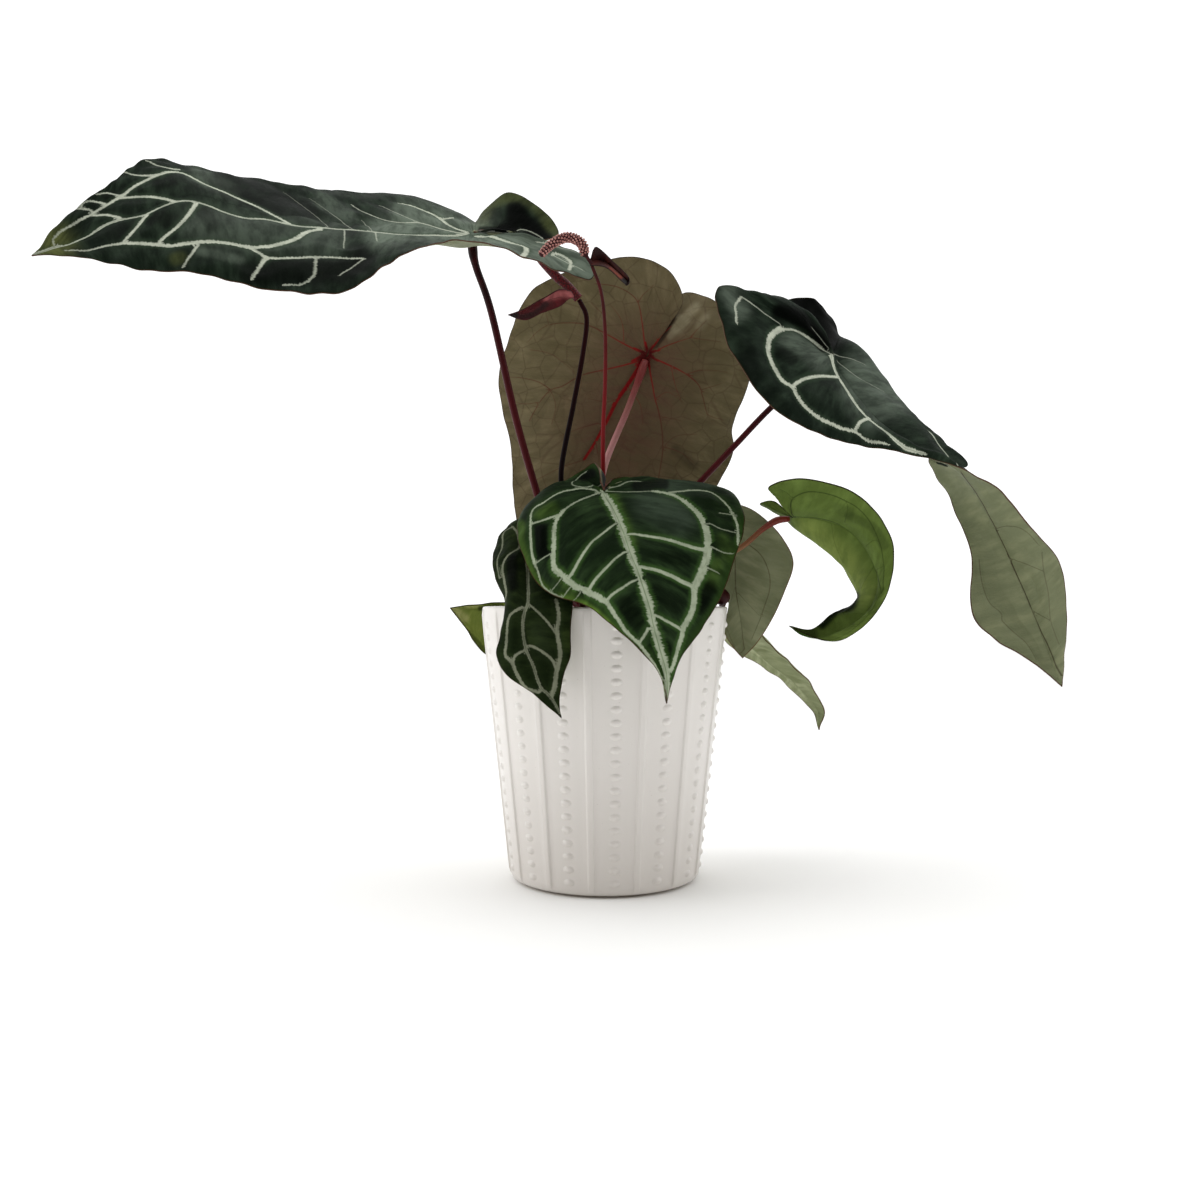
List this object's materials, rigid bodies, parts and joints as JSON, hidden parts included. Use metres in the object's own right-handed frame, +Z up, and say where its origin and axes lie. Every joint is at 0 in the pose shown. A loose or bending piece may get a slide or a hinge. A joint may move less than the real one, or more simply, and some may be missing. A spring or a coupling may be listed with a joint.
{
  "type": "potted anthurium hybrid",
  "caption": "Potted aroid house plant with dark heart-shaped, white-veined leaves on long maroon stalks, in a white ceramic cover pot embossed with beads and ridges.",
  "frame": {"origin": "centre of the pot's flat base, on the surface it stands on", "axes": "+X to the viewer's right, +Y away from the viewer, +Z up along the pot's axis"},
  "size_m": [0.5095, 0.1956, 0.3944],
  "materials": {
    "glaze": "white satin-gloss glaze over the embossed beads and ridges",
    "mix": "matt damp orchid bark, coir and a little perlite",
    "stem_skin": "matt brown-green stem with papery dry leaf scales",
    "dark_leaf": "satin very dark green with broad pale feathered veins, sage green underneath",
    "olive_leaf": "satin olive-bronze underside with crimson main veins",
    "young_leaf": "satin fresh yellow-green with fine veins",
    "pale_leaf": "satin grey-green underside with thin brown veins",
    "dark_stalk": "satin dark maroon stalk",
    "young_stalk": "satin amber-brown young stalk",
    "dry_spathe": "matt dried dark brown",
    "red_spathe": "satin pink-red, folded back",
    "pink_spadix": "dusty pink beads on a dark red core",
    "red_spadix": "smooth dark red"
  },
  "bodies": {
    "root": {"pot": "glaze", "potting_mix": "mix", "stem": "stem_skin", "left_leaf_blade": "dark_leaf", "left_leaf_petiole": "dark_stalk", "back_leaf_blade": "olive_leaf", "back_leaf_petiole": "dark_stalk", "right_leaf_blade": "dark_leaf", "right_leaf_petiole": "dark_stalk", "front_leaf_blade": "dark_leaf", "front_leaf_petiole": "dark_stalk", "front_left_leaf_blade": "dark_leaf", "front_left_leaf_petiole": "dark_stalk", "young_leaf_blade": "young_leaf", "young_leaf_petiole": "young_stalk", "side_leaf_blade": "pale_leaf", "side_leaf_petiole": "dark_stalk", "low_right_leaf_blade": "pale_leaf", "low_right_leaf_petiole": "dark_stalk", "low_left_leaf_blade": "young_leaf", "low_left_leaf_petiole": "young_stalk", "front_flower_stalk": "dark_stalk", "front_flower_spadix": "pink_spadix", "front_flower_spathe": "dry_spathe", "back_flower_stalk": "dark_stalk", "back_flower_spadix": "red_spadix", "back_flower_spathe": "red_spathe"}
  },
  "joints": []
}
